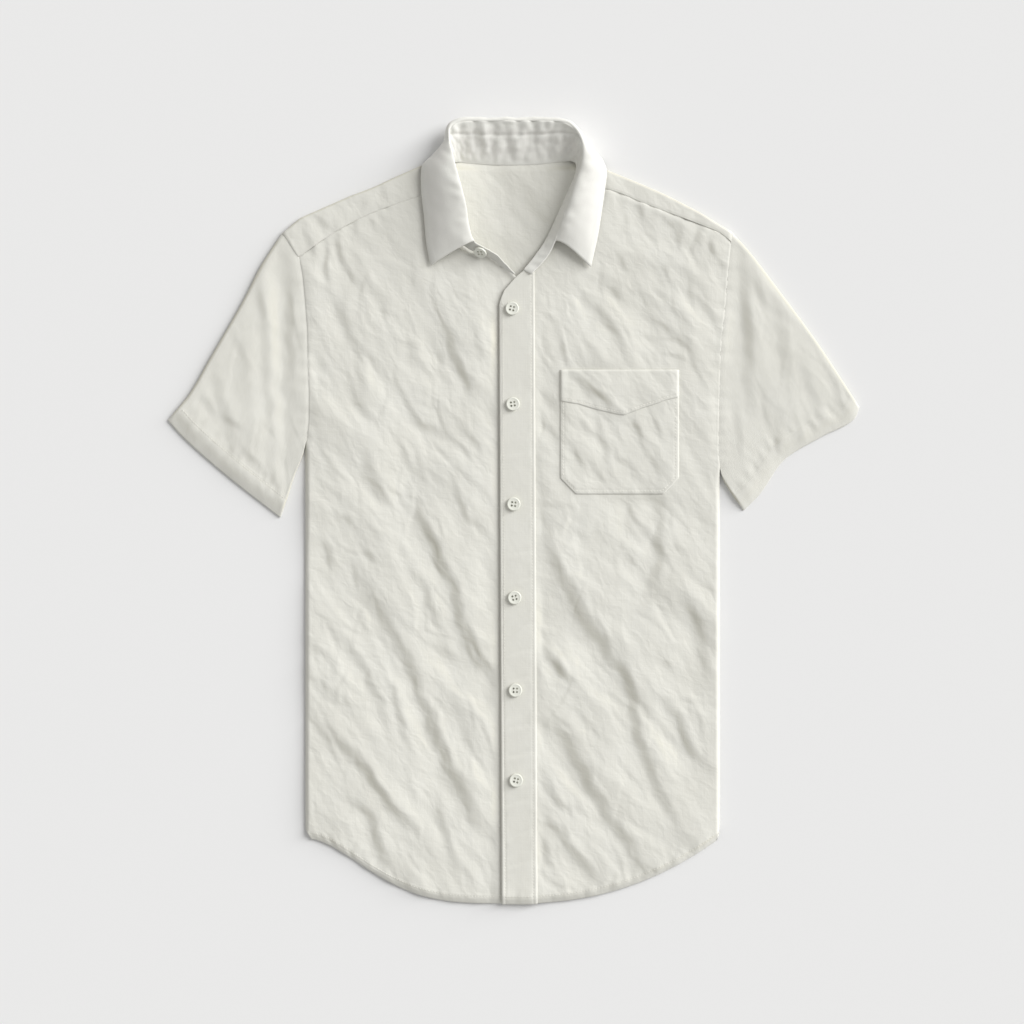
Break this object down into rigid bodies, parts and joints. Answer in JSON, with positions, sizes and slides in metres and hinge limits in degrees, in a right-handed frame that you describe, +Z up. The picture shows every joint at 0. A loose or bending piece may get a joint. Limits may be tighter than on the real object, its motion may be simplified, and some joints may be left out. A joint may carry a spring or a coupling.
{
  "type": "crumpled shirt",
  "caption": "Short-sleeved button-up shirt in crumpled ecru cloth, laid flat and face up, with an open collar, a placket and a chest pocket.",
  "frame": {"origin": "middle of the laid outline, on the surface that the shirt lies on", "axes": "+X to the wearer's left, +Y from the hem to the collar, +Z up from the surface"},
  "size_m": [0.6937, 0.786, 0.0302],
  "materials": {
    "shirt_cloth": "matt crumpled plain weave in undyed linen and cotton",
    "collar_cloth": "the same plain weave, interlined and smoother",
    "button": "satin off-white"
  },
  "bodies": {
    "root": {"back": "shirt_cloth", "yoke": "shirt_cloth", "front_right": "shirt_cloth", "front_left": "shirt_cloth", "placket": "shirt_cloth", "sleeve_right": "shirt_cloth", "sleeve_left": "shirt_cloth", "pocket": "shirt_cloth", "pocket_band": "shirt_cloth", "collar_stand": "collar_cloth", "collar_fall": "collar_cloth", "button_1": "button", "button_2": "button", "button_3": "button", "button_4": "button", "button_5": "button", "button_6": "button", "button_stand": "button"}
  },
  "joints": []
}
